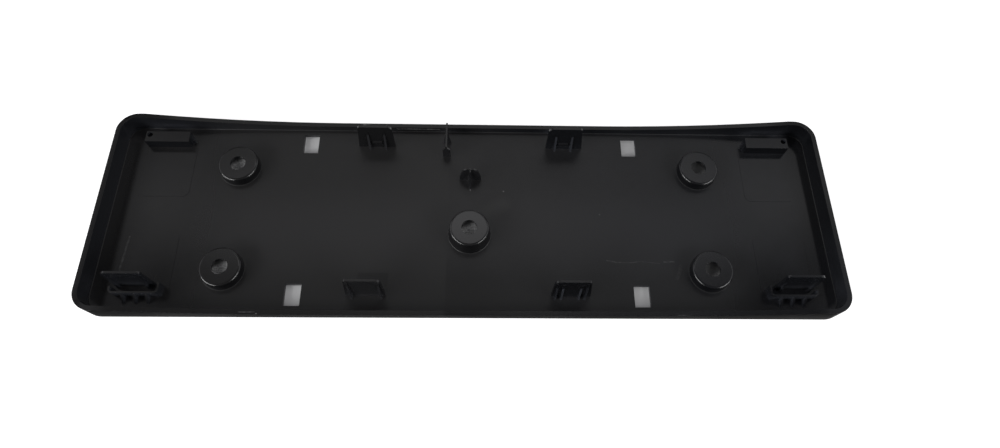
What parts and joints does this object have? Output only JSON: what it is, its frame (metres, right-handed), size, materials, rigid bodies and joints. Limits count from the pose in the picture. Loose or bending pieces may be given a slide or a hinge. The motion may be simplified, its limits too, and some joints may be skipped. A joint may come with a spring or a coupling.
{
  "type": "number plate holder",
  "caption": "Moulded black tray with a bowed rim, screw bosses, ribbed clips and corner pockets, for fixing a long number plate to a car bumper.",
  "frame": {"origin": "middle of the flat show face, which the part lies on", "axes": "+X along the tray, +Y across it, +Z from the show face towards the fixing side and the rim"},
  "size_m": [0.536, 0.157, 0.0304],
  "materials": {
    "moulded_plastic": "black, semi-matt as moulded"
  },
  "bodies": {
    "root": {"plate_holder": "moulded_plastic"}
  },
  "joints": []
}
